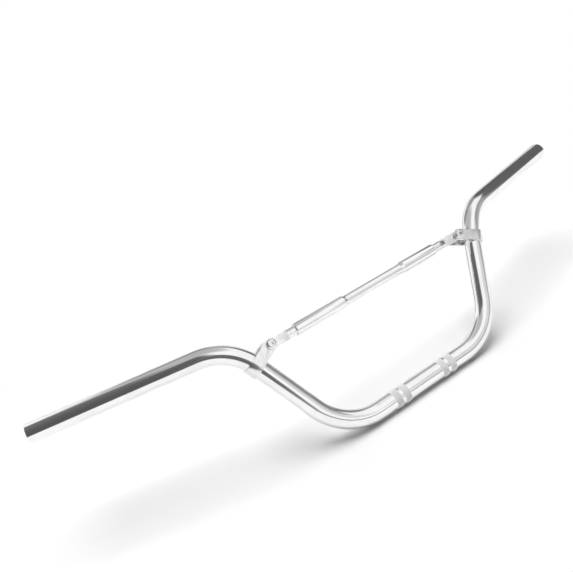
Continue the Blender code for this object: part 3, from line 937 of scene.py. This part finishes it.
def build_strap(name, tube, clamp, matrix):
    """A flat strip bent in a U round the tube, with two round-tipped ears."""
    inner, outer = strap_radii(tube, clamp)
    ear_radius = clamp.strap_width / 2
    ear_tip = clamp.bolt_reach + ear_radius + CUT_MARGIN
    body = [(ear_tip, outer)] + arc((0, 0), outer, math.pi / 2, math.pi * 3 / 2, 2 * OUTLINE_SEGMENTS)
    body += [(ear_tip, -outer)]
    strap = plate(name, [body], clamp.strap_width + 2 * CUT_MARGIN)
    strap.matrix_world = matrix

    far_side = -outer - CUT_MARGIN
    side_view = arc((clamp.bolt_reach, 0), ear_radius, math.pi / 2, -math.pi / 2, OUTLINE_SEGMENTS)
    side_view += [(far_side, -ear_radius), (far_side, ear_radius)]
    hole = circle((clamp.bolt_reach, 0), hole_radius(clamp), SMALL_SIDES)
    ears = plate(name + "_ears", [side_view, hole], 2 * (outer + CUT_MARGIN))
    ears.matrix_world = matrix @ QUARTER_X

    slot_half = inner - clamp.slot_relief
    past_tip = ear_tip + CUT_MARGIN
    outline = [(0, slot_half), (0, -slot_half), (past_tip, -slot_half), (past_tip, slot_half)]
    slot = plate(name + "_slot", [outline], clamp.strap_width + 4 * CUT_MARGIN)
    slot.matrix_world = matrix

    seat = seat_cutter(tube, clamp)
    boolean(strap, "INTERSECT", ears)
    boolean(strap, "DIFFERENCE", slot)
    boolean(strap, "DIFFERENCE", seat)
    bevel(strap, clamp.strap_edge, STRAP_EDGE_ANGLE)
    return settled(strap, ears, slot, seat)


class HANDLEBAR_OT_straps(bpy.types.Operator):
    """Builds the two clamp straps"""
    bl_idname = "handlebar.straps"
    bl_label = "Clamp straps"

    def execute(self, context):
        tube, crossbar, clamp = bar_settings(context)
        finish = context.scene.handlebar_finish
        material = satin_metal("satin strap", finish.strap, STRAP_ROUGHNESS)
        for side_name, side in SIDES:
            matrix = clamp_frame(tube, crossbar, clamp, side)
            strap = build_strap(f"strap_{side_name}", tube, clamp, matrix)
            hand_over(strap, material, "satin_strap", f"clamp_strap_{side_name}")
        return {"FINISHED"}


def bolt_profile(clamp, bearing):
    """The button head's dome and rim, and the plain shank down to the thread."""
    top = bearing + clamp.head_height
    head_radius = clamp.head_diameter / 2
    flat_radius = clamp.head_flat / 2
    dome_start = bearing + clamp.head_rim
    turns = [math.pi / 2 * index / HEAD_DOME_SEGMENTS for index in range(HEAD_DOME_SEGMENTS + 1)]
    dome = [(flat_radius + (head_radius - flat_radius) * math.sin(turn),
             dome_start + (top - dome_start) * math.cos(turn)) for turn in turns]
    edge = clamp.head_rim / 4
    return [(0, top)] + dome + [(head_radius, bearing + edge), (head_radius - edge, bearing),
                                (clamp.bolt_diameter / 2, bearing)]


def build_bolt(name, tube, clamp):
    """A button head screw with a hexagon socket and a cut thread."""
    _, outer = strap_radii(tube, clamp)
    bearing = outer + clamp.seat_gap
    stack = clamp.washer_thickness + clamp.nut_hex_height + clamp.collar_height + clamp.seat_gap
    tip = -(bearing + stack + clamp.thread_past_nut)
    radius = clamp.bolt_diameter / 2
    rings = [level_ring(height, [ring_radius] * SMALL_SIDES)
             for ring_radius, height in bolt_profile(clamp, bearing)]
    thread_start = -outer
    step = clamp.thread_pitch / SHANK_THREAD_STEPS
    count = round((thread_start - tip) / step)
    for ring in range(count + 1):
        height = thread_start - ring * step
        left = (count - ring) * step
        lead = min(1.0, ring / SHANK_THREAD_STEPS)
        radii = []
        for index in range(SMALL_SIDES):
            phase = (height / clamp.thread_pitch + index / SMALL_SIDES) % 1
            groove = clamp.thread_depth * lead * min(1.0, THREAD_FLANK * abs(phase - 0.5))
            radii.append(min(radius - groove, radius - clamp.thread_depth + left))
        rings.append(level_ring(height, radii))
    rings.append([Vector((0, 0, tip))] * SMALL_SIDES)
    shape, _ = loft(rings)
    bolt = new_object(name, cleaned(shape))
    corner_radius = clamp.socket_width / 2 / math.cos(math.pi / 6)
    depth = clamp.socket_depth + CUT_MARGIN
    socket = plate(name + "_socket", [circle((0, 0), corner_radius, 6)], depth)
    top = bearing + clamp.head_height
    socket.matrix_world = Matrix.Translation((0, 0, top - clamp.socket_depth + depth / 2))
    boolean(bolt, "DIFFERENCE", socket)
    return settled(bolt, socket)


def flat_ring(name, clamp, outer, height, edge):
    """A ring round the bolt, with rounded edges."""
    hole = hole_radius(clamp)
    section = [(outer, height), (outer, 0), (hole, 0), (hole, height)]
    return smooth(revolved(name, filleted(section, edge, closed=True), SMALL_SIDES))


def build_nut(name, clamp):
    """A lock nut: a hexagon with trimmed corners and a round collar over its nylon ring."""
    corner_radius = clamp.nut_width / 2 / math.cos(math.pi / 6)
    hole = hole_radius(clamp)
    ring_seat = hole + clamp.insert_wall + clamp.seat_gap
    collar = ring_seat + clamp.collar_wall
    height = clamp.nut_hex_height + clamp.collar_height
    lip_start = height - clamp.collar_lip
    seat_floor = lip_start - clamp.insert_height - 2 * clamp.seat_gap
    lip = hole + clamp.insert_wall / 2
    trimmed = corner_radius - clamp.nut_corner
    past = corner_radius + CUT_MARGIN / 2
    profile = [(ring_seat, height), (collar, lip_start), (collar, clamp.nut_hex_height),
               (trimmed, clamp.nut_hex_height), (past, clamp.nut_hex_height - clamp.nut_corner),
               (past, clamp.nut_corner), (trimmed, 0), (hole, 0), (hole, seat_floor),
               (ring_seat, seat_floor), (ring_seat, lip_start), (lip, lip_start), (lip, height)]
    nut = revolved(name, profile, TURNED_SIDES)
    prism = plate(name + "_hexagon", [circle((0, 0), corner_radius, 6)], height + 2 * CUT_MARGIN)
    prism.matrix_world = Matrix.Translation((0, 0, height / 2))
    boolean(nut, "INTERSECT", prism)
    bevel(nut, NUT_EDGE, NUT_EDGE_ANGLE)
    return settled(nut, prism)


def seat_on_bolt(piece, axis, height, material, slot, node):
    """Sets a piece at a height along the bolt's axis and hands it over."""
    piece.matrix_world = axis @ Matrix.Translation((0, 0, height))
    hand_over(piece, material, slot, node)


class HANDLEBAR_OT_fasteners(bpy.types.Operator):
    """Builds the clamps' bolts, washers and lock nuts"""
    bl_idname = "handlebar.fasteners"
    bl_label = "Clamp fasteners"

    def execute(self, context):
        tube, crossbar, clamp = bar_settings(context)
        finish = context.scene.handlebar_finish
        plated = turned_metal("plated fastener", finish.fastener, FASTENER_ROUGHNESS)
        nylon = moulded_nylon("nut nylon", finish.nylon, NYLON_ROUGHNESS)
        _, outer = strap_radii(tube, clamp)
        washer_seat = outer + clamp.seat_gap
        nut_seat = washer_seat + clamp.washer_thickness + clamp.seat_gap
        lip_start = clamp.nut_hex_height + clamp.collar_height - clamp.collar_lip
        insert_seat = nut_seat + lip_start - clamp.seat_gap - clamp.insert_height
        for side_name, side in SIDES:
            axis = clamp_frame(tube, crossbar, clamp, side) @ Matrix.Translation((clamp.bolt_reach, 0, 0))
            towards_head = axis @ QUARTER_X
            towards_nut = axis @ Matrix.Rotation(-math.pi / 2, 4, "X")
            seat_on_bolt(build_bolt(f"bolt_{side_name}", tube, clamp), towards_head, 0,
                         plated, "plated_fastener", f"clamp_bolt_{side_name}")
            washer = flat_ring(f"washer_{side_name}", clamp, clamp.washer_diameter / 2,
                               clamp.washer_thickness, WASHER_EDGE)
            seat_on_bolt(washer, towards_nut, washer_seat,
                         plated, "plated_fastener", f"clamp_washer_{side_name}")
            seat_on_bolt(build_nut(f"lock_nut_{side_name}", clamp), towards_nut, nut_seat,
                         plated, "plated_fastener", f"clamp_nut_{side_name}")
            insert = flat_ring(f"nylon_ring_{side_name}", clamp, hole_radius(clamp) + clamp.insert_wall,
                               clamp.insert_height, NYLON_EDGE)
            seat_on_bolt(insert, towards_nut, insert_seat,
                         nylon, "white_nylon", f"clamp_nut_insert_{side_name}")
        return {"FINISHED"}


# The stage

STAGE_CENTRE = (0, 0.07, CAD_BOX[0][2])
FLOOR_HALF_WIDTH = 6.0
FLOOR_GREY = 0.92
FLOOR_LIFT = 0.02
FLOOR_FADE_START = 0.5
DIFFUSE_LIGHT = 0.05
DOME_SEGMENTS = (96, 48)


def direction_of(azimuth, elevation):
    """A unit vector; azimuth 0 looks along +Y and 90 along +X, in degrees."""
    turn = math.radians(azimuth)
    lift = math.radians(elevation)
    return (math.sin(turn) * math.cos(lift), math.cos(turn) * math.cos(lift), math.sin(lift))


# Each glowing grey card of painted reflection, seen only in the metal: azimuth, elevation, the spread of
# its even part and of the whole, all in degrees, and its brightness
PAINTED_REFLECTION_CARDS = (
    (4, 47, 12, 24, 0.26),
    (40, 44, 12, 22, 0.34),
    (66, 30, 14, 22, 0.12),
    (90, 18, 12, 18, 0.12),
    (118, 24, 12, 20, 0.36),
    (-60, 78, 20, 38, 0.50),
    (-84, 45, 18, 28, 0.16),
    (-124, 38, 18, 28, 0.12),
    (-130, 12, 20, 30, 0.10),
    (-158, 20, 10, 18, 0.14),
    (141, 23, 10, 18, 0.70),
)
# The glowing rail of painted reflection is even up to the first elevation, in degrees, and has faded out at
# the second
PAINTED_RAIL_TOP = (2, 12)
PAINTED_RAIL_GLOW = 0.20


def painted_reflection_material():
    """Painted reflections: glowing grey cards and a low glowing rail round the bar, seen only in the metal;
    between them the metal mirrors the white background.
    """
    material, graph = new_material("painted reflection cards")
    direction = graph.node("ShaderNodeVectorMath", {"operation": "NORMALIZE"}, {0: graph.place()}, "Vector")
    height = graph.node("ShaderNodeSeparateXYZ", {}, {"Vector": direction}, "Z")
    low, high = (math.sin(math.radians(elevation)) for elevation in PAINTED_RAIL_TOP)
    clear = graph.step(height, low, high)
    # The rail and the cards glow at a set brightness: painted reflections that only the metal sees
    light = (1 - clear) * PAINTED_RAIL_GLOW
    for azimuth, elevation, inner, outer, brightness in PAINTED_REFLECTION_CARDS:
        near = graph.node("ShaderNodeVectorMath", {"operation": "DOT_PRODUCT"},
                          {0: direction, 1: direction_of(azimuth, elevation)}, "Value")
        mask = graph.step(near, math.cos(math.radians(outer)), math.cos(math.radians(inner)))
        clear = clear * (1 - mask)
        light = light * (1 - mask) + mask * brightness
    open_air = graph.node("ShaderNodeBsdfTransparent", {}, {"Color": clear})
    graph.finish(graph.add_shader(open_air, graph.emission(light)))
    return material


def build_painted_reflection_dome(radius):
    """Carries the glowing cards of painted reflection for the metal to mirror. It is hidden from the camera
    and sheds no light.
    """
    shape = bmesh.new()
    around, upward = DOME_SEGMENTS
    bmesh.ops.create_uvsphere(shape, u_segments=around, v_segments=upward, radius=radius)
    dome = new_object("painted_reflection_dome", shape)
    dome.location = STAGE_CENTRE
    dome.visible_camera = False
    dome.visible_diffuse = False
    dome.visible_shadow = False
    dome.data.materials.append(painted_reflection_material())


def background_rays(graph):
    """1 for the rays that show the background: the camera's, mirrored ones and those let through."""
    seen = graph.node("ShaderNodeLightPath", {}, {}, "Is Camera Ray")
    return seen + seen.output("Is Glossy Ray") + seen.output("Is Transmission Ray")


def build_world():
    """White to the camera and to the metal, and a low even light on everything else."""
    world = bpy.data.worlds.new("studio")
    bpy.context.scene.world = world
    world.use_nodes = True
    graph = Graph(world.node_tree)
    background = background_rays(graph)
    strength = background + (1 - background) * DIFFUSE_LIGHT
    backdrop = graph.node("ShaderNodeBackground", {}, {"Color": (1, 1, 1, 1), "Strength": strength})
    graph.finish(backdrop, "ShaderNodeOutputWorld")


def floor_material(radius):
    """A white floor that keeps the bar's shadow, and turns to plain white far from it."""
    material, graph = new_material("white floor")
    background = background_rays(graph)
    distance = graph.node("ShaderNodeVectorMath", {"operation": "LENGTH"}, {0: graph.place()}, "Value")
    far = graph.step(distance, radius * FLOOR_FADE_START, radius)
    paint = graph.node("ShaderNodeBsdfDiffuse", {}, {"Color": opaque([FLOOR_GREY] * 3)})
    near_floor = graph.add_shader(paint, graph.emission(background * FLOOR_LIFT))
    clear = graph.node("ShaderNodeBsdfTransparent")
    far_floor = graph.mix_shader(background, clear, graph.emission(1.0))
    graph.finish(graph.mix_shader(far, near_floor, far_floor))
    return material


def build_floor(radius):
    shape = bmesh.new()
    bmesh.ops.create_grid(shape, x_segments=1, y_segments=1, size=FLOOR_HALF_WIDTH)
    floor = new_object("studio_floor", shape)
    floor.location = STAGE_CENTRE
    floor.data.materials.append(floor_material(radius))


def soft_light(name, elevation, spread, strength):
    """An even light from behind the bar at that elevation, spread wide, that the metal doesn't mirror."""
    data = bpy.data.lights.new(name, "SUN")
    data.angle = spread
    data.energy = strength
    lamp = bpy.data.objects.new(name, data)
    lamp.rotation_euler = (elevation - math.pi / 2, 0, 0)
    lamp.visible_glossy = False
    bpy.context.scene.collection.objects.link(lamp)


class HANDLEBAR_OT_stage(bpy.types.Operator):
    """Builds the floor, the studio light, the dome of painted reflections and the camera"""
    bl_idname = "handlebar.stage"
    bl_label = "Studio stage"

    def execute(self, context):
        stage = context.scene.handlebar_stage
        build_floor(stage.floor_radius)
        build_painted_reflection_dome(stage.painted_reflection_dome_radius)
        build_world()
        soft_light("overhead_light", stage.overhead_elevation, stage.overhead_spread,
                   stage.overhead_strength)
        soft_light("back_light", stage.back_elevation, stage.back_spread, stage.back_strength)

        camera_data = bpy.data.cameras.new("photo_camera")
        camera_data.sensor_width = SENSOR_WIDTH
        camera_data.lens = stage.lens
        camera_data.clip_start = CLIP_START
        camera = bpy.data.objects.new("photo_camera", camera_data)
        camera.location = stage.camera_location
        camera.rotation_euler = stage.camera_rotation
        context.scene.collection.objects.link(camera)
        context.scene.camera = camera
        context.scene.view_settings.view_transform = "Standard"
        return {"FINISHED"}


# The panel and the registration

SETTINGS = (
    ("handlebar_tube", TubeSettings),
    ("handlebar_crossbar", CrossbarSettings),
    ("handlebar_clamp", ClampSettings),
    ("handlebar_finish", FinishSettings),
    ("handlebar_stage", StageSettings),
)
OPERATORS = (
    HANDLEBAR_OT_stage,
    HANDLEBAR_OT_tube,
    HANDLEBAR_OT_crossbar,
    HANDLEBAR_OT_eyes,
    HANDLEBAR_OT_straps,
    HANDLEBAR_OT_fasteners,
)


class HANDLEBAR_PT_panel(bpy.types.Panel):
    """Lists the handlebar's settings and operators"""
    bl_idname = "HANDLEBAR_PT_panel"
    bl_label = "Motocross Handlebar"
    bl_space_type = "VIEW_3D"
    bl_region_type = "UI"
    bl_category = "Handlebar"

    def draw(self, context):
        layout = self.layout
        for operator in OPERATORS:
            layout.operator(operator.bl_idname)
        for attribute, group in SETTINGS:
            box = layout.box()
            box.label(text=group.__doc__)
            settings = getattr(context.scene, attribute)
            for name in group.__annotations__:
                box.prop(settings, name)


def register():
    for attribute, group in SETTINGS:
        bpy.utils.register_class(group)
        setattr(bpy.types.Scene, attribute, PointerProperty(type=group))
    for operator in OPERATORS:
        bpy.utils.register_class(operator)
    bpy.utils.register_class(HANDLEBAR_PT_panel)


def unregister():
    bpy.utils.unregister_class(HANDLEBAR_PT_panel)
    for operator in reversed(OPERATORS):
        bpy.utils.unregister_class(operator)
    for attribute, group in reversed(SETTINGS):
        delattr(bpy.types.Scene, attribute)
        bpy.utils.unregister_class(group)


def main():
    register()
    bpy.ops.handlebar.stage()
    bpy.ops.handlebar.tube()
    bpy.ops.handlebar.crossbar()
    bpy.ops.handlebar.eyes()
    bpy.ops.handlebar.straps()
    bpy.ops.handlebar.fasteners()
    bpy.context.view_layer.update()


if __name__ == "__main__":
    main()
